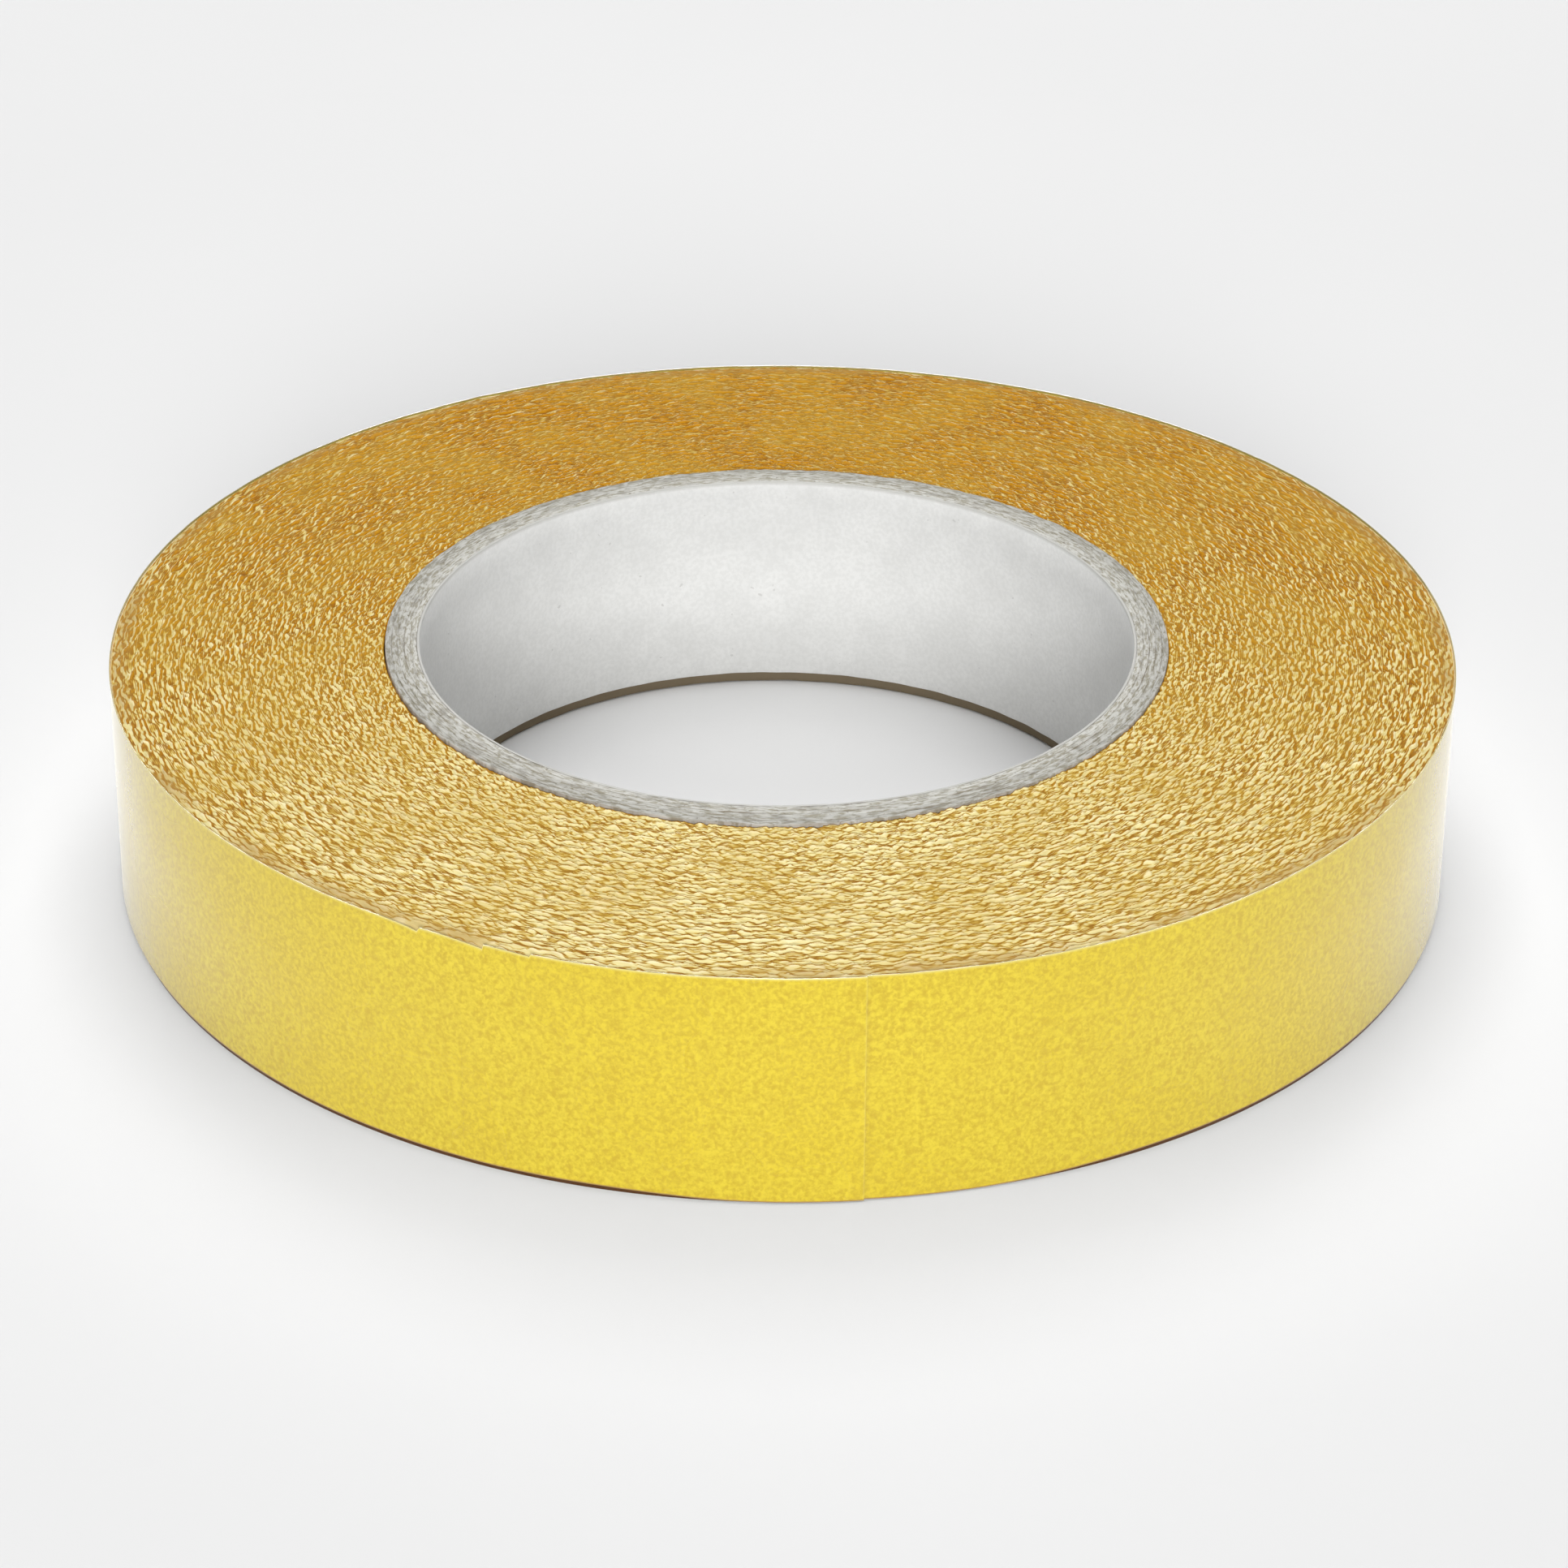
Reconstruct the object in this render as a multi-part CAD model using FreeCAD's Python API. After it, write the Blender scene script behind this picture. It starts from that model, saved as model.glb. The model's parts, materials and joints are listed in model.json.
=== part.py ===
import FreeCAD, Part
import math
import os

# A roll of double-sided tape lying flat: a cardboard core, the tape wound on it with its yellow
# release liner outwards, and the free end of the tape on the front of the roll.
# Millimetres and degrees. +Z is up along the core's axis, and the roll rests on the plane z = 0.
# The origin is on that plane at the centre of the core's bore. -Y is the front of the roll.

# Core: a white paper lining and plies of grey board, wound parallel and glued together. The lining
# stops short of the core's lower end.
CORE_BORE_RADIUS = 38.1
LINING_THICKNESS = 0.3
PLY_COUNT = 5
PLY_THICKNESS = 0.67
CORE_LENGTH = 25.6
LINING_BOTTOM = 1.2

# Tape: two coats of adhesive on a tissue carrier, and the release liner, from the inside out.
TAPE_WIDTH = 25.0
LAYER_THICKNESSES = {
    "inner_adhesive": 0.045,
    "tissue_carrier": 0.04,
    "outer_adhesive": 0.045,
    "release_liner": 0.08,
}
TURN_COUNT = 142

# The outermost turn stands a little higher than the turns that the roll rests on.
OUTER_TURN_BOTTOM = 0.3

# The winding is not quite concentric with the core.
WINDING_OFFSET_X = 0.7

# Where the tape ends, as a direction from the winding's centre, and its loose end: stretches that
# bend one after another, then the tip, whose liner has a stuck part and a tab that lifts off.
TAPE_END_ANGLE = -83.5
FLAP_STRETCH_COUNT = 3
FLAP_STRETCH_ANGLE = 6.5
STUCK_LINER_ANGLE = 4.0
LINER_TAB_ANGLE = 7.0
FLAP_GAP = 0.03

CORE_RADIUS = CORE_BORE_RADIUS + LINING_THICKNESS + PLY_COUNT * PLY_THICKNESS
TAPE_THICKNESS = sum(LAYER_THICKNESSES.values())
FULL_TURN = 360.0
QUADRANT = 90.0
# The surface under the outermost turn, just after the tape's end.
WOUND_RADIUS = CORE_RADIUS + (TURN_COUNT - 2) * TAPE_THICKNESS
TAB_START = FULL_TURN - LINER_TAB_ANGLE
TIP_START = TAB_START - STUCK_LINER_ANGLE
FLAP_START = TIP_START - FLAP_STRETCH_COUNT * FLAP_STRETCH_ANGLE
UP = FreeCAD.Vector(0, 0, 1)


def direction(turned):
    """Unit vector at an angle, in degrees, anticlockwise from the tape's end."""
    angle = math.radians(TAPE_END_ANGLE + turned)
    return FreeCAD.Vector(math.cos(angle), math.sin(angle), 0)


class Spiral:
    """One turn of the winding's surface: four arcs, each a quarter turn, that meet smoothly.

    Each arc's radius is a quarter of the tape's thickness more than the one before, and its centre
    moves back by as much along their common radius, so the surface climbs one thickness in a turn.
    """

    step = TAPE_THICKNESS / 4

    def __init__(self, height_above_wound):
        self.first_radius = WOUND_RADIUS + height_above_wound

    def centre(self, quadrant):
        middle = FreeCAD.Vector(WINDING_OFFSET_X, 0, 0)
        place = middle + (direction(QUADRANT) + direction(2 * QUADRANT)) * (self.step / 2)
        for passed in range(1, quadrant + 1):
            place = place - direction(passed * QUADRANT) * self.step
        return place

    def radius(self, quadrant):
        return self.first_radius + quadrant * self.step

    def point(self, quadrant, turned):
        return self.centre(quadrant) + direction(turned) * self.radius(quadrant)

    def arcs(self, start, end):
        """The edges of the surface from one angle to another, in order."""
        edges = []
        for quadrant in range(4):
            low = max(start, quadrant * QUADRANT)
            high = min(end, (quadrant + 1) * QUADRANT)
            if high > low:
                stations = (low, (low + high) / 2, high)
                points = [self.point(quadrant, turned) for turned in stations]
                edges.append(Part.Arc(*points).toShape())
        return edges


def first_point(edges):
    return edges[0].firstVertex(True).Point


def last_point(edges):
    return edges[-1].lastVertex(True).Point


def prism(wires, bottom, height):
    """The solid between an outline, less any holes, and its copy above it."""
    face = Part.Face(wires)
    face.translate(UP * bottom)
    return face.extrude(UP * height)


def strip(inner_height, outer_height, start, end):
    """A layer of tape standing on edge, between two heights above the wound turns."""
    inner = Spiral(inner_height).arcs(start, end)
    outer = Spiral(outer_height).arcs(start, end)
    root = Part.makeLine(first_point(outer), first_point(inner))
    tip = Part.makeLine(last_point(inner), last_point(outer))
    wire = Part.Wire(Part.__sortEdges__(inner + outer + [root, tip]))
    return prism([wire], OUTER_TURN_BOTTOM, TAPE_WIDTH)


def tube(inner_radius, outer_radius, bottom):
    """One tube of the core, from a height to the core's upper end."""
    base = UP * bottom
    outside = Part.makeCylinder(outer_radius, CORE_LENGTH - bottom, base, UP)
    inside = Part.makeCylinder(inner_radius, CORE_LENGTH - bottom, base, UP)
    return outside.cut(inside)


def core_parts():
    """The lining and, around it, the plies of board."""
    lining_radius = CORE_BORE_RADIUS + LINING_THICKNESS
    parts = {"core_bore_lining": tube(CORE_BORE_RADIUS, lining_radius, LINING_BOTTOM)}
    for number in range(1, PLY_COUNT + 1):
        outer_radius = lining_radius + number * PLY_THICKNESS
        inner_radius = outer_radius - PLY_THICKNESS
        parts[f"core_ply_{number}"] = tube(inner_radius, outer_radius, 0)
    return parts


def wound_turns():
    """Every turn but the outermost, packed tight on the core, with a step where the tape ends."""
    outside = Spiral(0).arcs(0, FULL_TURN)
    step = Part.makeLine(last_point(outside), first_point(outside))
    outline = Part.Wire(Part.__sortEdges__(outside + [step]))
    hole = Part.Wire(Part.makeCircle(CORE_RADIUS))
    return prism([outline, hole], 0, TAPE_WIDTH)


def tape_layers(prefix, gap, start, end):
    """The four layers of one stretch of the outermost turn, from the inside out."""
    parts = {}
    height = gap
    for layer, thickness in LAYER_THICKNESSES.items():
        parts[f"{prefix}_{layer}"] = strip(height, height + thickness, start, end)
        height += thickness
    return parts


def flap_parts():
    """The loose end of the tape, in short stretches that can bend away from the roll in turn."""
    parts = {}
    for number in range(1, FLAP_STRETCH_COUNT + 1):
        end = FLAP_START + number * FLAP_STRETCH_ANGLE
        start = end - FLAP_STRETCH_ANGLE
        parts.update(tape_layers(f"flap_{number}", FLAP_GAP, start, end))
    return parts


def tip_parts():
    """The tape's last stretch, whose liner is cut in two where its tab begins."""
    parts = tape_layers("tape_tip", FLAP_GAP, TIP_START, FULL_TURN)
    outer_height = FLAP_GAP + TAPE_THICKNESS
    inner_height = outer_height - LAYER_THICKNESSES["release_liner"]
    parts["tape_tip_release_liner"] = strip(inner_height, outer_height, TIP_START, TAB_START)
    parts["liner_tab"] = strip(inner_height, outer_height, TAB_START, FULL_TURN)
    return parts


def main():
    parts = core_parts()
    parts["wound_turns"] = wound_turns()
    parts.update(tape_layers("outer_turn", 0, 0, FLAP_START))
    parts.update(flap_parts())
    parts.update(tip_parts())
    os.makedirs("parts", exist_ok=True)
    for name, shape in parts.items():
        shape.exportStep(f"parts/{name}.step")


main()
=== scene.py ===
import json
import math

import bpy
import numpy as np
from mathutils import Matrix, Vector


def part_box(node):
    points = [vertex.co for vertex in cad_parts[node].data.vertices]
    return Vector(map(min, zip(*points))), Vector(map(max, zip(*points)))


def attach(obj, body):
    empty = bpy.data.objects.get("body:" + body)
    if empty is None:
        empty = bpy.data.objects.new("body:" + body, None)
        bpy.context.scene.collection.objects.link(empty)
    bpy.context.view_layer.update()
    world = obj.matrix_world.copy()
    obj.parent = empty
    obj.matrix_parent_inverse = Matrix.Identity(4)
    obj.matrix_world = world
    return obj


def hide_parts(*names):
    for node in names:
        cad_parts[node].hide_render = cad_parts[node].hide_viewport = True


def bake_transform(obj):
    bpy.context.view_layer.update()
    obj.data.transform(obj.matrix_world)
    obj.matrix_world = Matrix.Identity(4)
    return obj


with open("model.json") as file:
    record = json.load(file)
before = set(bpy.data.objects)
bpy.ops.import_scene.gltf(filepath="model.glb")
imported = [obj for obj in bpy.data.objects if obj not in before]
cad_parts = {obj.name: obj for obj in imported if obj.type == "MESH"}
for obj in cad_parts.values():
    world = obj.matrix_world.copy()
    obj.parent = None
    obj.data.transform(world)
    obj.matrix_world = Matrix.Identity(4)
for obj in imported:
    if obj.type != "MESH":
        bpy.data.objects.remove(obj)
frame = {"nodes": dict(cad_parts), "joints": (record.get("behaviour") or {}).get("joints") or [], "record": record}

# A roll of double-sided tape lying on its side: the looks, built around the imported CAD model.
# Metres and radians. Z is up along the core's axis, and -Y is the front of the roll.

MM = 0.001
TURN = 2 * math.pi
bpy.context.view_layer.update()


def lowest(node):
    """The corner of a CAD node's box with the smallest coordinates."""
    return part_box(node)[0]


def highest(node):
    """The corner of a CAD node's box with the largest coordinates."""
    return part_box(node)[1]


# The core, from the frame: a lining in the bore and the plies of board around it.
BORE = next(mount for mount in frame["record"]["mounts"] if mount["name"] == "core_bore")
BORE_RADIUS = BORE["dims"]["r_mm"] * MM
LINING_RADIUS = highest("core_bore_lining")[0]
PLY_COUNT = sum(name.startswith("core_ply_") for name in frame["nodes"])
PLY_RADII = [highest(f"core_ply_{number}")[0] for number in range(1, PLY_COUNT + 1)]
CORE_RADIUS = PLY_RADII[-1]
CORE_BOTTOM = lowest("core_ply_1")[2]
CORE_TOP = highest("core_ply_1")[2]
LINING_BOTTOM = lowest("core_bore_lining")[2]

# The winding: 142 turns of a tape of four layers, a little off the core's centre. Its heights are
# the frame's.
LAYERS = {
    "inner_adhesive": 0.045 * MM,
    "tissue_carrier": 0.04 * MM,
    "outer_adhesive": 0.045 * MM,
    "release_liner": 0.08 * MM,
}
TAPE_THICKNESS = sum(LAYERS.values())
# How many turns lie between the core and the surface just after the tape's end.
WOUND_TURNS = 140
WINDING_OFFSET = 0.7 * MM
WOUND_RADIUS = CORE_RADIUS + WOUND_TURNS * TAPE_THICKNESS
WOUND_TOP = highest("wound_turns")[2]
TAPE_BOTTOM = lowest("outer_turn_release_liner")[2]
TAPE_TOP = highest("outer_turn_release_liner")[2]
TAPE_END = math.radians(-83.5)
# What brings the smooth noise to about -1 to 1.
GRAIN_GAIN = 1.6


# ---------------------------------------------------------------- shapes in the plane of the roll


def smooth(value):
    """Zero below 0, one above 1, and an S-curve between."""
    clipped = np.clip(value, 0, 1)
    return clipped * clipped * (3 - 2 * clipped)


def off_centre(radius):
    """How far a turn's centre lies from the core's axis: nothing at the core, most at the outside."""
    share = (radius - CORE_RADIUS) / (WOUND_RADIUS - CORE_RADIUS)
    return WINDING_OFFSET * np.clip(share, 0, 1)


def place(radius, angle, height):
    """Points at a radius and direction about the winding's centre there, as an (..., 3) array."""
    radius, angle, height = np.broadcast_arrays(radius, angle, height)
    x = off_centre(radius) + radius * np.cos(angle)
    return np.stack([x, radius * np.sin(angle), height], axis=-1)


def grain(seed, around, across, angle, radius):
    """Smooth noise of about -1 to 1 that closes on itself round the roll.

    There are `around` cells in a turn, each `across` wide along the radius.
    """
    angle, radius = np.broadcast_arrays(angle, radius)
    turned = (angle / TURN) % 1 * around
    out = radius / across
    column = np.floor(turned).astype(int)
    row = np.floor(out).astype(int)
    tilts = np.random.default_rng(seed).uniform(0, TURN, (around, row.max() - row.min() + 2))
    total = np.zeros(turned.shape)
    for next_column in (0, 1):
        for next_row in (0, 1):
            tilt = tilts[(column + next_column) % around, row - row.min() + next_row]
            along = turned - column - next_column
            outward = out - row - next_row
            slope = np.cos(tilt) * along + np.sin(tilt) * outward
            total += slope * smooth(1 - np.abs(along)) * smooth(1 - np.abs(outward))
    return total * GRAIN_GAIN


# ---------------------------------------------------------------- meshes


def make_object(name, points, faces, materials, face_materials=None, values=None):
    """A mesh object, with a number per vertex for each name in `values`.

    It is shaded smooth, but for the faces that don't have its first material.
    """
    mesh = bpy.data.meshes.new(name)
    mesh.from_pydata(points.reshape(-1, 3).tolist(), [], faces)
    for material in materials:
        mesh.materials.append(material)
    mesh.shade_smooth()
    if face_materials is not None:
        mesh.polygons.foreach_set("material_index", face_materials)
        mesh.polygons.foreach_set("use_smooth", face_materials == 0)
    for value_name, numbers in (values or {}).items():
        attribute = mesh.attributes.new(value_name, "FLOAT", "POINT")
        attribute.data.foreach_set("value", np.asarray(numbers, dtype=np.float32).ravel())
    mesh.update()
    piece = bpy.data.objects.new(name, mesh)
    bpy.context.scene.collection.objects.link(piece)
    return piece


def grid_faces(columns, rows, close_columns, close_rows):
    """Quads over a grid of vertices numbered column by column."""
    first = np.arange(columns if close_columns else columns - 1)
    second = (first + 1) % columns
    low = np.arange(rows if close_rows else rows - 1)
    high = (low + 1) % rows
    corners = [
        first[:, None] * rows + low,
        first[:, None] * rows + high,
        second[:, None] * rows + high,
        second[:, None] * rows + low,
    ]
    return np.stack(corners, axis=-1).reshape(-1, 4).tolist()


# ---------------------------------------------------------------- materials


def srgb(red, green, blue):
    """A colour given as 0 to 255 on a screen, as linear numbers and full cover."""
    linear = []
    for channel in (red, green, blue):
        share = channel / 255
        linear.append(share / 12.92 if share <= 0.04045 else ((share + 0.055) / 1.055) ** 2.4)
    return (*linear, 1.0)


class Material:
    """A procedural material: a Principled shader and short ways to add nodes before it."""

    def __init__(self, name, **sockets):
        self.material = bpy.data.materials.new(name)
        self.material.use_nodes = True
        self.nodes = self.material.node_tree.nodes
        self.links = self.material.node_tree.links
        self.shader = self.nodes["Principled BSDF"]
        for socket, value in sockets.items():
            self.shader.inputs[socket.replace("_", " ")].default_value = value
        self.position = self.nodes.new("ShaderNodeTexCoord").outputs["Object"]
        self.normal = self.nodes["Texture Coordinate"].outputs["Normal"]

    def feed(self, socket, value):
        """Links an output to a socket, or sets the socket to a number or colour."""
        if isinstance(value, bpy.types.NodeSocket):
            self.links.new(value, socket)
        else:
            socket.default_value = value

    def math(self, operation, first, second):
        node = self.nodes.new("ShaderNodeMath")
        node.operation = operation
        for socket, value in zip(node.inputs, (first, second)):
            self.feed(socket, value)
        return node.outputs[0]

    def vector(self, operation, first, second=(0, 0, 0)):
        node = self.nodes.new("ShaderNodeVectorMath")
        node.operation = operation
        self.feed(node.inputs[0], first)
        self.feed(node.inputs[1], second)
        return node.outputs["Value" if operation in ("LENGTH", "DOT_PRODUCT") else "Vector"]

    def value(self, name):
        """The number that the mesh holds at each vertex under a name."""
        node = self.nodes.new("ShaderNodeAttribute")
        node.attribute_name = name
        return node.outputs["Fac"]

    def flat_position(self):
        """The place in plan, without the height."""
        return self.vector("MULTIPLY", self.position, (1, 1, 0))

    def ring_position(self, tangential, radial):
        """Noise coordinates that follow the turns: cells of those two sizes at the winding's middle."""
        flat = self.flat_position()
        middle = (CORE_RADIUS + WOUND_RADIUS) / 2
        node = self.nodes.new("ShaderNodeVectorMath")
        node.operation = "SCALE"
        self.feed(node.inputs[0], self.vector("NORMALIZE", flat))
        node.inputs["Scale"].default_value = middle / tangential
        climb = self.nodes.new("ShaderNodeCombineXYZ")
        self.feed(climb.inputs["Z"], self.math("DIVIDE", self.vector("LENGTH", flat), radial))
        return self.vector("ADD", node.outputs[0], climb.outputs[0])

    def height(self):
        """The height above what the roll lies on."""
        node = self.nodes.new("ShaderNodeSeparateXYZ")
        self.feed(node.inputs[0], self.position)
        return node.outputs["Z"]

    def outward(self):
        """How far the surface faces away from the core's axis, from -1 to 1."""
        return self.vector("DOT_PRODUCT", self.normal, self.vector("NORMALIZE", self.flat_position()))

    def noise(self, coordinates, scale=1.0, detail=2.0, roughness=0.5, distortion=0.0):
        node = self.nodes.new("ShaderNodeTexNoise")
        self.feed(node.inputs["Vector"], coordinates)
        node.inputs["Scale"].default_value = scale
        node.inputs["Detail"].default_value = detail
        node.inputs["Roughness"].default_value = roughness
        node.inputs["Distortion"].default_value = distortion
        return node.outputs["Fac"]

    def spread(self, value, low, high, to_low=0.0, to_high=1.0):
        """Maps a range smoothly onto another, and holds it at its ends."""
        node = self.nodes.new("ShaderNodeMapRange")
        node.interpolation_type = "SMOOTHSTEP"
        for socket, number in zip(node.inputs, (value, low, high, to_low, to_high)):
            self.feed(socket, number)
        return node.outputs["Result"]

    def mix(self, share, first, second):
        node = self.nodes.new("ShaderNodeMix")
        node.data_type = "RGBA"
        self.feed(node.inputs[0], share)
        self.feed(node.inputs[6], first)
        self.feed(node.inputs[7], second)
        return node.outputs[2]

    def bump(self, height, distance, strength=1.0):
        node = self.nodes.new("ShaderNodeBump")
        node.inputs["Strength"].default_value = strength
        node.inputs["Distance"].default_value = distance
        self.feed(node.inputs["Height"], height)
        self.links.new(node.outputs["Normal"], self.shader.inputs["Normal"])

    def paint(self, **sockets):
        """Links outputs to the shader's sockets."""
        for socket, value in sockets.items():
            self.links.new(value, self.shader.inputs[socket.replace("_", " ")])
        return self.material


def winding_material():
    """The edges of the turns: pale liner on the faces that look outward, amber adhesive inward. The crumbs' tops
    that face outward are paler still, partly the liner's own edge and partly a painted highlight, and their
    hollows are darkened with painted shade.
    """
    look = Material("winding_edges", Roughness=0.7, Specular_IOR_Level=0.1)
    outward = look.outward()
    amber = look.mix(look.spread(outward, -0.4, -0.15), srgb(188, 130, 6), srgb(150, 102, 26))
    gold = look.mix(look.spread(outward, -0.1, 0.14), amber, srgb(202, 168, 74))
    streaks = look.noise(look.ring_position(1.1 * MM, 0.35 * MM), detail=3.0, roughness=0.6)
    darker = look.mix(look.spread(streaks, 0.36, 0.5, 0.2, 0), gold, srgb(160, 106, 16))
    facing = look.mix(look.spread(outward, 0.08, 0.4), darker, srgb(233, 222, 160))
    shown = look.spread(outward, -0.05, 0.3, 0.05, 1.0)
    # Painted highlight, partly the liner's pale edge: the outward-facing tops of the crumbs are paler.
    crest = look.math("MULTIPLY", look.value("crest"), shown)
    raised = look.mix(crest, facing, srgb(243, 232, 184))
    # Painted shade: the hollows between the crumbs are darker, most on the faces that look inward.
    deep = look.math("MULTIPLY", look.value("pit"), look.spread(outward, -0.2, 0.15, 0.65, 0.0))
    pits = look.mix(deep, raised, srgb(134, 82, 8))
    clouds = look.noise(look.position, scale=1 / (12 * MM), detail=3.0)
    cloudy = look.mix(look.spread(clouds, 0.35, 0.65, 0, 0.3), pits, srgb(196, 160, 56))
    worn = look.math("MULTIPLY", look.value("rim"), look.spread(clouds, 0.35, 0.6, 0.2, 1))
    rim = look.mix(worn, cloudy, srgb(164, 126, 70))
    look.bump(streaks, 0.05 * MM, 0.6)
    return look.paint(Base_Color=rim)


def liner_material(name):
    """Glossy coated yellow paper, finely mottled, pale at its cut top edge and a darker tan along its foot.
    Painted shade darkens the back of a strip near its top edge, partly the adhesive's own colour, and lies as a
    faint painted shadow beside the step where the outermost turn begins. Low on the winding's outer wall, in the
    gap under the outermost turn, painted shade turns it dark brown and takes its coat away.
    """
    look = Material(name, Specular_IOR_Level=0.32, Coat_Roughness=0.12,
                    Sheen_Weight=0.12, Sheen_Roughness=0.35)
    mottle = look.noise(look.position, scale=1 / (0.5 * MM), detail=3.0, roughness=0.6, distortion=0.3)
    clouds = look.noise(look.position, scale=1 / (16 * MM), detail=2.0)
    yellow = look.mix(look.spread(mottle, 0.3, 0.7), srgb(192, 163, 0), srgb(219, 196, 28))
    cloudy = look.mix(look.spread(clouds, 0.3, 0.7, 0, 0.2), yellow, srgb(196, 168, 2))
    edged = look.mix(look.value("edge"), cloudy, srgb(216, 200, 104))
    # A darker tan along the strip's lower edge.
    tan_at_foot = look.mix(look.value("foot"), edged, srgb(168, 130, 56))
    # Painted shade: low on the winding's outer wall, where it shows through the gap under the outermost turn, the
    # liner turns dark brown and loses its coat.
    low = look.math("MULTIPLY", look.value("gap_shade"), look.spread(look.height(), 0.4 * MM, 0.6 * MM, 1, 0))
    gap_shaded = look.mix(low, tan_at_foot, srgb(78, 46, 14))
    shaded = look.mix(look.value("behind"), gap_shaded, srgb(100, 92, 78))
    bounced = look.nodes.new("ShaderNodeLightPath").outputs["Is Diffuse Ray"]
    seen = look.mix(bounced, shaded, srgb(236, 235, 230))
    look.bump(mottle, 0.012 * MM, 0.4)
    rough = look.spread(clouds, 0.3, 0.7, 0.22, 0.32)
    coat = look.math("SUBTRACT", 1.0, low)
    return look.paint(Base_Color=seen, Roughness=rough, Coat_Weight=coat)


def adhesive_material():
    """Clear amber adhesive with a wet gloss."""
    look = Material("amber_adhesive", Coat_Weight=0.7, Coat_Roughness=0.15)
    lumps = look.noise(look.position, scale=1 / (1.2 * MM), detail=3.0)
    amber = look.mix(look.spread(lumps, 0.3, 0.7), srgb(202, 150, 52), srgb(222, 180, 86))
    look.bump(lumps, 0.03 * MM, 0.7)
    return look.paint(Base_Color=amber, Roughness=look.spread(lumps, 0.3, 0.7, 0.22, 0.4))


def tissue_material():
    """Off-white tissue with loose fibres."""
    look = Material("tissue_carrier", Roughness=0.85)
    fibres = look.noise(look.position, scale=1 / (0.7 * MM), detail=4.0, roughness=0.7, distortion=1.2)
    pale = look.mix(look.spread(fibres, 0.35, 0.65), srgb(222, 208, 164), srgb(240, 232, 204))
    look.bump(fibres, 0.02 * MM)
    return look.paint(Base_Color=pale)


def board_material(number):
    """Grey board, cut across: torn fibres in streaks along the ply, and glue at its outer side."""
    from_bore = (number - 1) / (PLY_COUNT - 1)
    look = Material(f"core_board_{number}", Roughness=0.9, Specular_IOR_Level=0.2)
    streaks = look.noise(look.ring_position(1.7 * MM, 0.26 * MM), detail=3.0, roughness=0.6,
                         distortion=0.5)
    warm, cool = srgb(208, 207, 201), srgb(188, 187, 181)
    pale = tuple(a + (b - a) * from_bore for a, b in zip(warm, cool))
    dark = tuple(channel * share for channel, share in zip(pale, (0.58, 0.55, 0.47))) + (1.0,)
    fibres = look.mix(look.spread(streaks, 0.38, 0.58), dark, pale)
    blotches = look.noise(look.ring_position(3.2 * MM, 0.9 * MM), detail=3.0, roughness=0.6)
    blotched = look.mix(look.spread(blotches, 0.5, 0.68, 0, 0.5), fibres, srgb(138, 134, 126))
    specks = look.noise(look.position, scale=1 / (0.5 * MM), detail=2.0)
    specked = look.mix(look.spread(specks, 0.64, 0.74, 0, 0.6), blotched, srgb(116, 108, 98))
    glued = look.mix(look.value("glue"), specked, srgb(104, 88, 64))
    brown = look.mix(look.value("bore_side"), glued, srgb(124, 111, 90))
    look.bump(streaks, 0.06 * MM, 0.5)
    return look.paint(Base_Color=brown)


def lining_material():
    """Smooth white paper in the bore, satin, with a faint cloudiness and a few grey specks."""
    look = Material("bore_lining", Specular_IOR_Level=0.4)
    clouds = look.noise(look.position, scale=1 / (5 * MM), detail=4.0, roughness=0.6)
    white = look.mix(look.spread(clouds, 0.3, 0.7), srgb(221, 221, 219), srgb(228, 228, 226))
    specks = look.noise(look.position, scale=1 / (0.8 * MM), detail=1.0)
    specked = look.mix(look.spread(specks, 0.76, 0.8, 0, 0.35), white, srgb(150, 148, 144))
    fibres = look.noise(look.position, scale=1 / (0.45 * MM), detail=2.0)
    mottled = look.mix(look.spread(fibres, 0.35, 0.65, 0.3, 0), specked, srgb(204, 204, 201))
    greyed = look.mix(look.value("cut"), mottled, srgb(186, 185, 180))
    glued = look.mix(look.value("glue"), greyed, srgb(90, 84, 74))
    look.bump(clouds, 0.03 * MM, 0.25)
    return look.paint(Base_Color=glued, Roughness=look.spread(clouds, 0.3, 0.7, 0.42, 0.56))


def floor_material():
    look = Material("pale_floor", Roughness=0.8, Specular_IOR_Level=0.05)
    clouds = look.noise(look.position, scale=8.0, detail=2.0)
    pale = look.mix(look.spread(clouds, 0.2, 0.8), srgb(229, 229, 229), srgb(231, 231, 231))
    return look.paint(Base_Color=pale)


# ---------------------------------------------------------------- the core

CORE_COLUMNS = 960
# Where the rows of vertices lie across a cut end, and how far each of them is worn down.
CUT_ACROSS = np.array([0, 0.04, 0.14, 0.3, 0.5, 0.7, 0.86, 0.96, 1])
CUT_WEAR = np.array([2.0, 0.9, 0.2, 0, 0, 0, 0.2, 0.9, 2.0]) * 0.03 * MM
# The unevenness of the upper cut end, coarse and fine, and of the lower one.
COARSE_FIBRES = 0.05
FINE_FIBRES = 0.04
FOOT_FIBRES = 0.06 * MM
# A tube's wall begins below its upper end and stops above its lower end.
WALL_ROWS = 8
WALL_BELOW_TOP = 0.5 * MM
WALL_ABOVE_FOOT = 0.6 * MM
# How many rows of the foot belong to the bore's side.
FOOT_ROWS_OF_BORE = 4
# The core's upper end is crushed a little lower at its outside.
CORE_CRUSH = 0.15 * MM
# How dark the glue line is at the outer side of each ply, from the bore outwards.
GLUE_LINES = [0.35, 0.6, 0.25, 0.5, 0.4]
LINING_GLUE_LINE = 0.8


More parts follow.
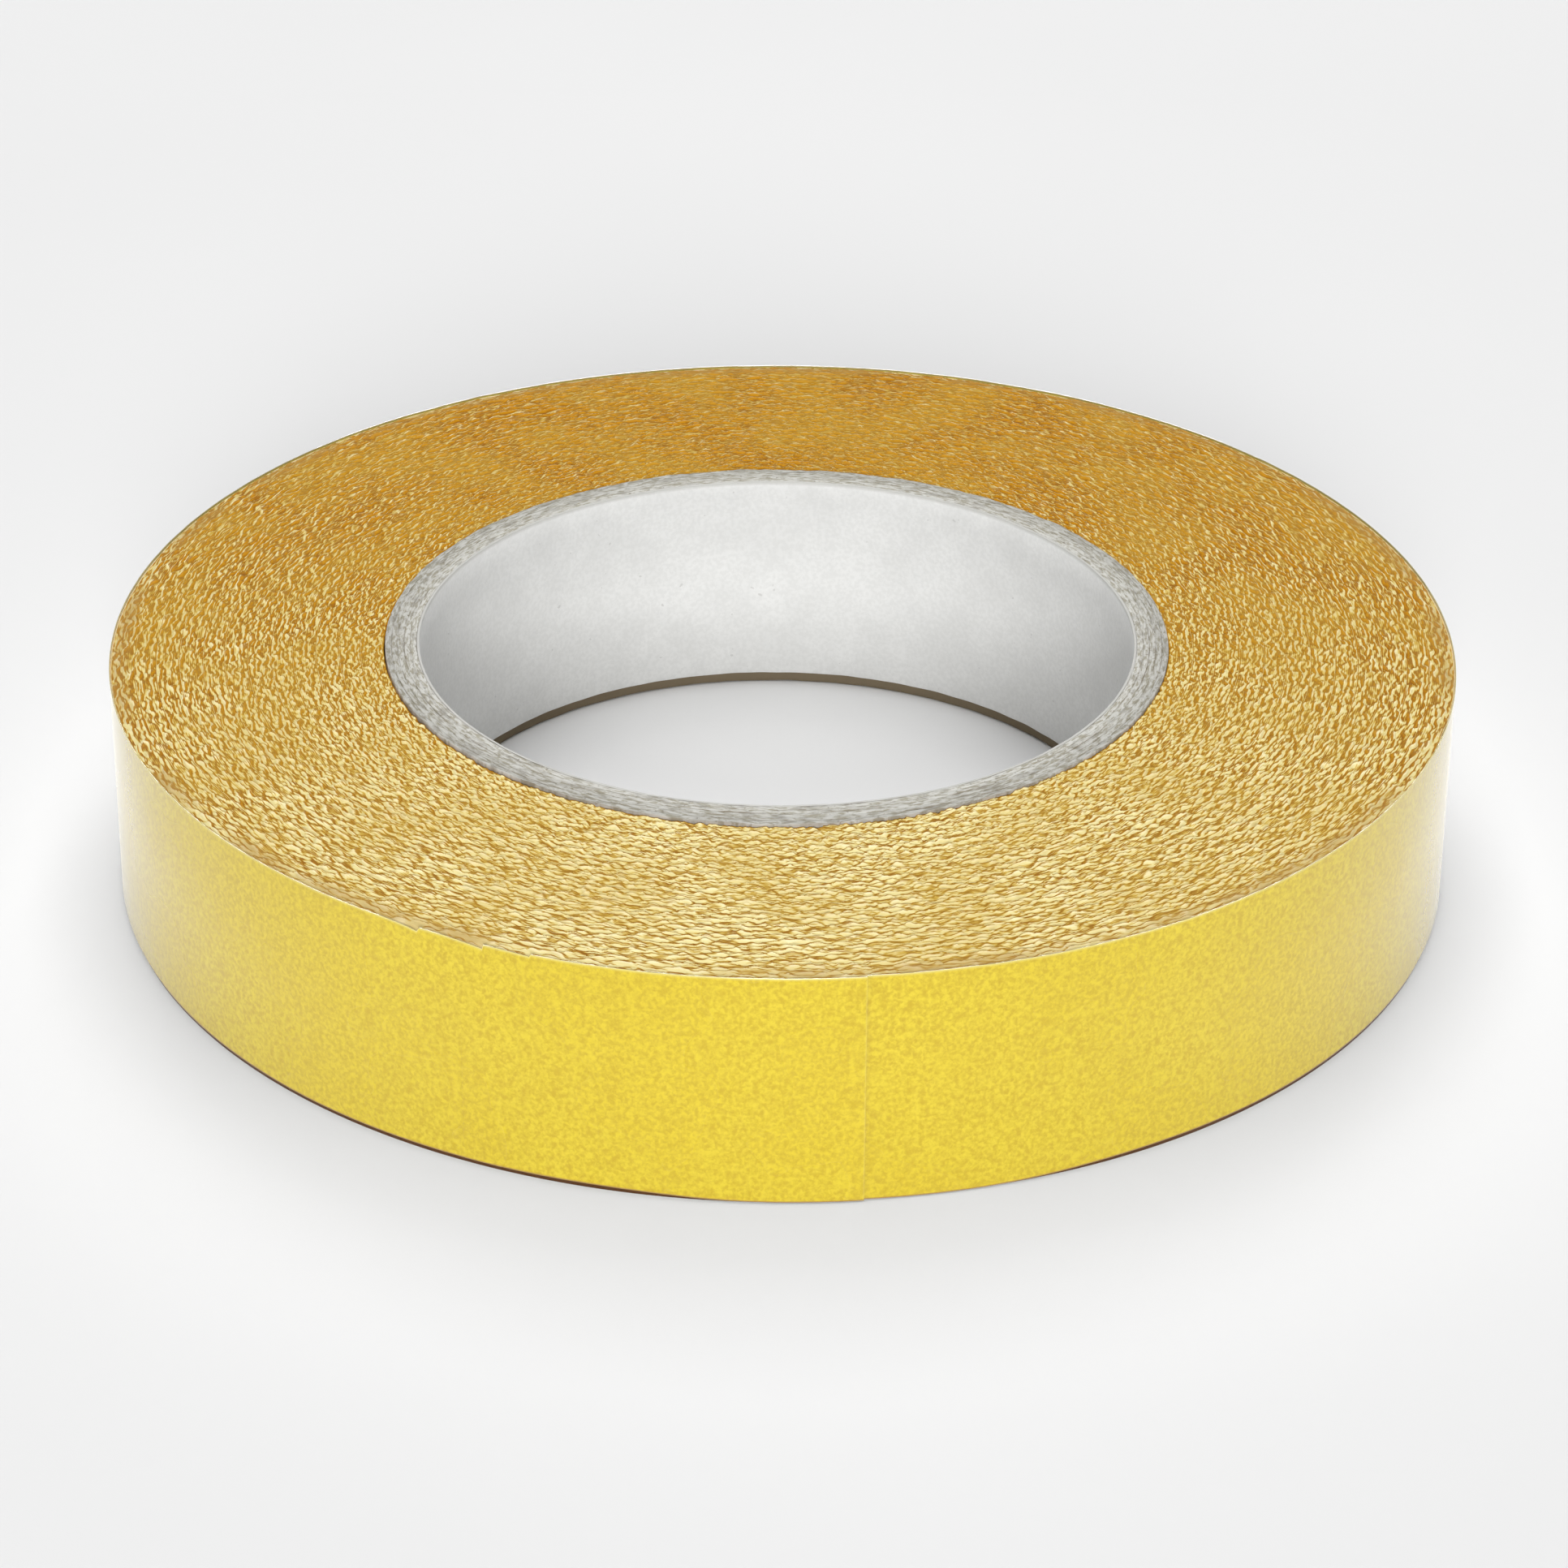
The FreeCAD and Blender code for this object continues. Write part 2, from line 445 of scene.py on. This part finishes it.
def cut_edge(angle, radius, seed):
    """How far the board's cut edge stands above or below its mean height."""
    share = (radius - BORE_RADIUS) / (CORE_RADIUS - BORE_RADIUS)
    coarse = grain(seed, 100, 0.6 * MM, angle, radius)
    fine = grain(seed + 1, 260, 0.22 * MM, angle, radius)
    return MM * (COARSE_FIBRES * coarse + FINE_FIBRES * fine) * (0.5 + share) - CORE_CRUSH * share


def make_tube(name, inner_radius, outer_radius, bottom, seed, material, glue_line):
    """One tube of the core, its cut ends rough and their corners a little worn."""
    angle = np.arange(CORE_COLUMNS)[:, None] / CORE_COLUMNS * TURN
    radius = inner_radius + CUT_ACROSS * (outer_radius - inner_radius)
    top = CORE_TOP - CUT_WEAR + cut_edge(angle, radius, seed)
    rough = np.maximum(1 + grain(seed + 5, 90, MM, angle, radius), 0)
    foot = bottom + CUT_WEAR + FOOT_FIBRES * rough
    walls = np.linspace(CORE_TOP - WALL_BELOW_TOP, bottom + WALL_ABOVE_FOOT, WALL_ROWS)
    down = np.broadcast_to(walls, (CORE_COLUMNS, WALL_ROWS))
    inner_wall = np.full(WALL_ROWS, inner_radius)
    outer_wall = np.full(WALL_ROWS, outer_radius)
    radii = np.concatenate([radius, outer_wall, radius[::-1], inner_wall])
    heights = np.concatenate([top, down, foot[:, ::-1], down[:, ::-1]], axis=1)
    points = np.stack(np.broadcast_arrays(
        radii * np.cos(angle), radii * np.sin(angle), heights), axis=-1)
    broken = smooth(0.5 + 1.2 * grain(seed + 7, 40, MM, angle, outer_radius))
    glue = np.zeros((CORE_COLUMNS, radii.size))
    glue[:, :CUT_ACROSS.size] = smooth((CUT_ACROSS - 0.8) / 0.2) * broken * glue_line
    cut = np.zeros(glue.shape)
    cut[:, :CUT_ACROSS.size] = 1
    bore_side = np.zeros(glue.shape)
    bore_side[:, -WALL_ROWS - FOOT_ROWS_OF_BORE:] = 1
    faces = grid_faces(CORE_COLUMNS, radii.size, True, True)
    values = {"glue": glue, "cut": cut, "bore_side": bore_side}
    piece = make_object(name, points, faces, [material], values=values)
    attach(piece, "roll")
    return piece


def make_core():
    lining = make_tube("bore_lining_paper", BORE_RADIUS, LINING_RADIUS, LINING_BOTTOM, 11,
                       lining_material(), LINING_GLUE_LINE)
    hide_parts("core_bore_lining")
    inner_radius = LINING_RADIUS
    for number, outer_radius in enumerate(PLY_RADII, 1):
        ply = make_tube(f"core_ply_{number}_board", inner_radius, outer_radius, CORE_BOTTOM,
                        20 * number, board_material(number), GLUE_LINES[number - 1])
        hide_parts(f"core_ply_{number}")
        inner_radius = outer_radius


# ---------------------------------------------------------------- the wound turns

COLUMNS = 1800
BAND_COUNT = 12
# Where the points of one turn's edge lie across it, and how high, from its adhesive to its liner.
EDGE_ACROSS = np.array([0, 0.45, 0.8])
EDGE_CLIMB = np.array([0, 0.5, 1])
EDGE_POINTS = EDGE_ACROSS.size
RIDGE = 0.015 * MM
CRUMB_HEIGHT = 0.125 * MM
RIM_WIDTH = 2.4 * MM
# The turns' edges sink by this much on the last millimetre before the outermost turn, and the lower
# side is even over the last stretch.
RIM_SINK = 0.12 * MM
EVEN_FOOT_WIDTH = 2.5 * MM
# Small tears in the outside's top edge, as directions from the axis, with their depths.
NICKS = {-119.2: 0.5 * MM, -113.5: 0.5 * MM, -109.6: 0.25 * MM}
NICK_LENGTH = math.radians(1.8)


def relief(angle, radius):
    """The unevenness of the wound side, about -1 to 1: wavy crumbs, longest along the turns."""
    bend = grain(3, 300, 0.9 * MM, angle, radius) * 0.4 * MM
    slide = grain(2, 320, 0.8 * MM, angle, radius) * 0.007
    crumbs = grain(5, 450, 0.42 * MM, angle + slide, radius + bend)
    dashes = grain(6, 200, 0.34 * MM, angle, radius + bend)
    folds = grain(7, 320, 0.65 * MM, angle + slide, radius + bend)
    return 1.1 * crumbs + 1.1 * dashes + 0.6 * (smooth(1 - np.abs(folds) / 0.25) - 0.35)


def nick_depth(angle):
    """How far the tears take the outside's top edge down: each sinks slowly, then ends at once."""
    depth = 0
    for direction, most in NICKS.items():
        before = (math.radians(direction) - angle + math.pi) % TURN - math.pi
        depth = depth + most * np.exp(-before / NICK_LENGTH) * (before >= 0)
    return depth


def wound_points():
    """Every point of the turns' edges, by place along the tape and across it.

    The last turn's worth of places is only the surface that the outermost turn lies on.
    """
    along = np.arange((WOUND_TURNS + 1) * COLUMNS + 1)[:, None] / COLUMNS
    angle = TAPE_END + along * TURN
    radius = CORE_RADIUS + TAPE_THICKNESS * (along + EDGE_ACROSS)
    mounds = relief(angle, radius)
    ridge = RIDGE * (0.9 + 0.8 * grain(8, 330, 0.8 * MM, angle, radius)) * EDGE_CLIMB
    sunk = (RIM_SINK + nick_depth(angle)) * smooth((radius - WOUND_RADIUS) / MM + 1)
    top = (WOUND_TOP + TAPE_TOP) / 2 - sunk + CRUMB_HEIGHT * mounds + ridge
    even = smooth((radius - WOUND_RADIUS + EVEN_FOOT_WIDTH) / EVEN_FOOT_WIDTH)
    bottom = 0.5 * CRUMB_HEIGHT * (1 - mounds) * (1 - even)
    values = {
        "crest": smooth((mounds - 0.2) / 0.7),
        "pit": smooth((-0.35 - mounds) / 0.5),
        "rim": smooth((radius - WOUND_RADIUS + RIM_WIDTH) / (0.7 * RIM_WIDTH)) * 0.5,
        # Lets the liner's painted shade darken the winding's outer wall near the floor.
        "gap_shade": np.ones(mounds.shape),
    }
    return place(radius, angle, top), place(radius, angle, np.maximum(bottom, 0)), values


def ribbon_faces(length, across):
    """Quads over a band: between the given points of each turn's edge, and on to the next turn's."""
    start = np.arange(length) * EDGE_POINTS
    beside = list(across) + [COLUMNS * EDGE_POINTS]
    quads = [np.stack([start + near, start + far,
                       start + EDGE_POINTS + far, start + EDGE_POINTS + near], axis=-1)
             for near, far in zip(beside, beside[1:])]
    return np.concatenate(quads)


def side_wall(place_along, under, outward):
    """Quads down one side of a band, a whole turn long, and the face that closes its step."""
    ring = (place_along + np.arange(COLUMNS + 1)) * EDGE_POINTS
    near, far = ring[:-1], ring[1:]
    quads = np.stack([near, near + under, far + under, far], axis=-1)
    step = [ring[-1], ring[-1] + under, ring[0] + under]
    step += [ring[0] + point for point in range(EDGE_POINTS)]
    if not outward:
        return quads[:, ::-1].tolist(), step[::-1]
    return quads.tolist(), step


def make_band(number, first_turn, last_turn, points, materials):
    """Some turns of the winding in one closed piece, with the second material on its outer wall."""
    top, bottom, values = points
    length = (last_turn - first_turn) * COLUMNS
    span = slice(first_turn * COLUMNS, (last_turn + 1) * COLUMNS + 1)
    count = (length + COLUMNS + 1) * EDGE_POINTS
    over = ribbon_faces(length, range(EDGE_POINTS)).tolist()
    under = (ribbon_faces(length, [0])[:, ::-1] + count).tolist()
    inner_wall, inner_step = side_wall(0, count, False)
    outer_wall, outer_step = side_wall(length, count, True)
    faces = over + under + inner_wall + [inner_step] + outer_wall + [outer_step]
    used = np.unique(np.concatenate([np.ravel(over), np.ravel(under), inner_step, outer_step,
                                     np.ravel(outer_wall)]).astype(int))
    renumber = np.zeros(2 * count, dtype=int)
    renumber[used] = np.arange(used.size)
    both = np.concatenate([top[span].reshape(-1, 3), bottom[span].reshape(-1, 3)])[used]
    held = {name: np.tile(value[span].ravel(), 2)[used] for name, value in values.items()}
    kinds = np.zeros(len(faces), dtype=int)
    kinds[-len(outer_wall) - 1:] = 1
    numbered = [renumber[face].tolist() for face in faces]
    piece = make_object(f"wound_turns_{number}", both, numbered, materials, kinds, held)
    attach(piece, "roll")
    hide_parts("wound_turns")


def make_winding(liner):
    points = wound_points()
    materials = [winding_material(), liner]
    stops = [round(WOUND_TURNS * step / BAND_COUNT) for step in range(BAND_COUNT + 1)]
    for number, (first, last) in enumerate(zip(stops, stops[1:]), 1):
        make_band(number, first, last, points, materials)


# ---------------------------------------------------------------- the outermost turn and its loose end


def turned_to(joint_name):
    """How far round from the tape's end a hinge of the loose end is."""
    joint = next(joint for joint in frame["joints"] if joint["name"] == joint_name)
    x, y, _ = joint["pos_m"]
    return (math.atan2(y, x - WINDING_OFFSET) - TAPE_END) % TURN


HINGES = ["tape_end_peel", "flap_2_bend", "flap_3_bend", "tape_tip_bend", "liner_tab_peel"]
HINGE_ANGLES = [turned_to(name) for name in HINGES]
# Half the length of each hinge's bend zone; only the first sets where a length begins. The one at the root is half
# as long as the stretches allow, so that it stays clear of the winding, and the liner's tab's is short.
HALF_BENDS = [(after - before) / 2 for before, after in zip(HINGE_ANGLES, HINGE_ANGLES[1:])]
HALF_BENDS[0] /= 2
HALF_BENDS.append(math.radians(0.6))
FLAP_GAP = 0.03 * MM
# A strip has an extra column of vertices this close to each end, to keep its shading even there.
CLOSE = math.radians(0.02)
# How far apart its other columns are, where it stays round and where it bends.
TURN_STEP = math.radians(0.25)
BEND_STEP = math.radians(0.1)
CREAM_EDGE = 0.22 * MM
# How far below a strip's top edge its upper rows lie, and how many heights, both ends included,
# divide what is left.
ROW_DROPS = np.array([0.02 * MM, 0.1 * MM, CREAM_EDGE, 1.6 * CREAM_EDGE])
MIDDLE_STEPS = 9
# How wide the pale line is at the tape's end, and the shadow where the outermost turn begins.
END_EDGE = 0.18 * MM
START_SHADOW = 0.3 * MM
# How much the top edge waves, long and short, and the lower edge.
LONG_WAVE = 0.05
SHORT_WAVE = 0.03
FOOT_WAVE = 0.04
# The direction in which the outermost turn's lower edge comes nearest to what the roll lies on, how
# much of its height it loses there and how wide the dip is. Beside the dip it rises a little, and
# comes down again further round.
FRONT_DIP = math.radians(-82.0)
DIP_SHARE = 0.6
DIP_WIDTH = math.radians(12)
SIDE_RISE = 0.2 * MM
RISE_FADE = math.radians(18)
# How far the edges of the layers under the liner stand back from its own.
ADHESIVE_SAG = 0.32 * MM
TISSUE_SAG = 0.26 * MM


def tape_radius(turned, height):
    """The radius of a layer's face, by its height above the turn below."""
    gap = FLAP_GAP * smooth((turned - HINGE_ANGLES[0]) / math.radians(3) + 1)
    return WOUND_RADIUS + TAPE_THICKNESS * turned / TURN + gap + height


def top_edge(turned, sag):
    """The height of a layer's top edge: a little wavy, and lower by its sag."""
    angle = TAPE_END + turned
    wave = LONG_WAVE * grain(31, 14, 1.0, angle, 0.5) + SHORT_WAVE * grain(32, 150, 1.0, angle, 0.5)
    return TAPE_TOP - sag + MM * wave


def bottom_edge(turned, sag):
    """The height of a layer's lower edge, which dips at the very front of the roll."""
    angle = TAPE_END + turned
    aside = np.abs((angle - FRONT_DIP + math.pi) % TURN - math.pi)
    dip = DIP_SHARE * TAPE_BOTTOM * (1 - smooth(aside / DIP_WIDTH - 0.6))
    rise = SIDE_RISE * smooth(aside / DIP_WIDTH - 1) * smooth(5 - aside / RISE_FADE)
    return TAPE_BOTTOM - dip + rise + sag + FOOT_WAVE * MM * grain(33, 30, 1.0, angle, 0.5)


def make_strip(name, inner, outer, start, end, sag, material, step):
    """A stretch of one layer, standing on edge, from one angle to another in even steps."""
    count = max(2, round((end - start) / step))
    turned = np.linspace(start, end, count)
    turned = np.concatenate([[start, start + CLOSE], turned[1:-1], [end - CLOSE, end]])[:, None]
    top = top_edge(turned, sag) - nick_depth(TAPE_END + turned)
    bottom = bottom_edge(turned, sag)
    upper = top - ROW_DROPS
    middle = np.linspace(upper[:, -1:], bottom + 1.5 * CREAM_EDGE, MIDDLE_STEPS, axis=1)[:, 1:-1, 0]
    lower = bottom + ROW_DROPS[::-1]
    outside = np.concatenate([upper, middle, lower], axis=1)
    inside = outside[:, ::-1]
    heights = np.concatenate([outside, inside], axis=1)
    rows = outside.shape[1]
    radii = np.concatenate([
        np.broadcast_to(tape_radius(turned, outer), (turned.size, rows)),
        np.broadcast_to(tape_radius(turned, inner), (turned.size, rows))], axis=1)
    points = place(radii, TAPE_END + turned, heights)
    from_top = top - heights
    from_bottom = heights - bottom
    edge = 1 - smooth((from_top - 0.6 * CREAM_EDGE) / (0.6 * CREAM_EDGE))
    foot = 1 - smooth((from_bottom - 0.5 * CREAM_EDGE) / (0.5 * CREAM_EDGE))
    from_end = (TURN - turned) * WOUND_RADIUS
    edge = np.maximum(edge, 0.3 * (1 - smooth(from_end / END_EDGE)))
    # Painted shade on the strip's inner face near its top edge, partly the adhesive's own colour there, and a
    # faint painted shadow on its outer face beside the step where the outermost turn begins.
    behind = 0.8 * (1 - smooth(from_top / CREAM_EDGE - 0.5))
    behind[:, :rows] = 0.13 * (1 - smooth(turned * WOUND_RADIUS / START_SHADOW - 0.3))
    faces = grid_faces(turned.size, 2 * rows, False, True)
    faces.append(list(range(2 * rows))[::-1])
    faces.append([(turned.size - 1) * 2 * rows + row for row in range(2 * rows)])
    values = {"edge": edge, "foot": foot, "behind": behind}
    return make_object(name, points, faces, [material], values=values)


def on_tape(turned):
    """A point on the tape's outer face, half way up."""
    height = (TAPE_BOTTOM + TAPE_TOP) / 2
    return tuple(place(tape_radius(turned, TAPE_THICKNESS), TAPE_END + turned, height))


def make_layer(layer, inner, outer, sag, material):
    """One layer of the outermost turn, in lengths that each take in one hinge."""
    has_tab = layer == "release_liner"
    nodes = ["flap_1", "flap_2", "flap_3", "tape_tip"]
    replaced = [f"{node}_{layer}" for node in nodes] + ["liner_tab"]
    bends = HINGE_ANGLES if has_tab else HINGE_ANGLES[:-1]
    stops = [bends[0] - HALF_BENDS[0]]
    stops += [(before + after) / 2 for before, after in zip(HINGE_ANGLES, HINGE_ANGLES[1:])]
    stops = stops[:len(bends)] + [TURN]
    turn = make_strip(f"{layer}_turn", inner, outer, 0, stops[0], sag, material, TURN_STEP)
    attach(turn, "roll")
    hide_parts(f"outer_turn_{layer}")
    for number, hinge in enumerate(bends):
        half = HALF_BENDS[number]
        piece = make_strip(f"{layer}_bend_{number + 1}", inner, outer, stops[number],
                           stops[number + 1], sag, material, BEND_STEP)
        on_tape(hinge - half)
        on_tape(hinge + half)
        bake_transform(piece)
        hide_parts(replaced[number])


def make_tape(liner):
    adhesive = adhesive_material()
    looks = {
        "inner_adhesive": (adhesive, "adhesive", ADHESIVE_SAG),
        "tissue_carrier": (tissue_material(), "tissue", TISSUE_SAG),
        "outer_adhesive": (adhesive, "adhesive", ADHESIVE_SAG),
        "release_liner": (liner, "liner", 0.0),
    }
    height = 0
    for layer, thickness in LAYERS.items():
        material, slot, sag = looks[layer]
        make_layer(layer, height, height + thickness, sag, material)
        height += thickness


# ---------------------------------------------------------------- the studio

CAMERA_PLACE = Vector((0, -477.7 * MM, 267.0 * MM))
CAMERA_PITCH = math.radians(-28.533)
CAMERA_YAW = math.radians(-0.106)
CAMERA_ROLL = math.radians(0.454)
CAMERA_LENS = 115.03
FLOOR_HALF = 3.0
WALL_BRIGHTNESS = 0.9
WALL_LIGHT = 0.07


def make_floor():
    half = FLOOR_HALF
    corners = np.array([(-half, -half, 0), (half, -half, 0), (half, half, 0), (-half, half, 0)])
    floor = make_object("floor", corners, [[0, 1, 2, 3]], [floor_material()])


def make_light(name, round_from_front, height_angle, distance, width, height, power):
    """A soft light that points at the roll, placed by its direction in degrees."""
    turn = math.radians(round_from_front)
    rise = math.radians(height_angle)
    toward = Vector((math.sin(turn) * math.cos(rise), -math.cos(turn) * math.cos(rise), math.sin(rise)))
    data = bpy.data.lights.new(name, "AREA")
    data.shape = "RECTANGLE"
    data.size = width
    data.size_y = height
    data.energy = power
    light = bpy.data.objects.new(name, data)
    light.location = toward * distance
    light.rotation_euler = (-toward).to_track_quat("-Z", "Y").to_euler()
    bpy.context.scene.collection.objects.link(light)


def make_world():
    """A studio whose walls look pale, and give almost no light of their own."""
    world = bpy.data.worlds.new("studio")
    world.use_nodes = True
    nodes = world.node_tree.nodes
    links = world.node_tree.links
    pale = nodes["Background"]
    dim = nodes.new("ShaderNodeBackground")
    for shade, strength in ((pale, WALL_BRIGHTNESS), (dim, WALL_LIGHT)):
        shade.inputs["Color"].default_value = (1.0, 1.0, 1.0, 1.0)
        shade.inputs["Strength"].default_value = strength
    ray = nodes.new("ShaderNodeLightPath")
    choice = nodes.new("ShaderNodeMixShader")
    links.new(ray.outputs["Is Diffuse Ray"], choice.inputs["Fac"])
    links.new(pale.outputs[0], choice.inputs[1])
    links.new(dim.outputs[0], choice.inputs[2])
    links.new(choice.outputs[0], nodes["World Output"].inputs["Surface"])
    bpy.context.scene.world = world


def make_lights():
    make_world()
    make_light("low_front_light", 0, 19, distance=2.2, width=0.6, height=0.6, power=36)
    for name, side in (("left_panel", -1), ("right_panel", 1)):
        make_light(name, side * 68, 1.8, distance=2.0, width=0.6, height=0.1, power=7.5)
    make_light("back_panel", 180, 1.5, distance=2.0, width=0.8, height=0.1, power=4)
    make_light("top_light", 0, 90, distance=1.6, width=1.2, height=1.2, power=12.3)
    make_light("back_light", 180, 55, distance=1.6, width=0.9, height=0.9, power=12)


def make_camera():
    data = bpy.data.cameras.new("camera")
    data.sensor_width = 36.0
    data.lens = CAMERA_LENS
    camera = bpy.data.objects.new("camera", data)
    turn = Matrix.Rotation(CAMERA_YAW, 4, "Z")
    tilt = Matrix.Rotation(math.pi / 2 + CAMERA_PITCH, 4, "X")
    roll = Matrix.Rotation(CAMERA_ROLL, 4, "Z")
    camera.matrix_world = Matrix.Translation(CAMERA_PLACE) @ turn @ tilt @ roll
    bpy.context.scene.collection.objects.link(camera)
    bpy.context.scene.camera = camera


make_core()
liner = liner_material("yellow_release_liner")
make_winding(liner)
make_tape(liner)
make_floor()
make_lights()
make_camera()
bpy.context.scene.view_settings.view_transform = "Standard"
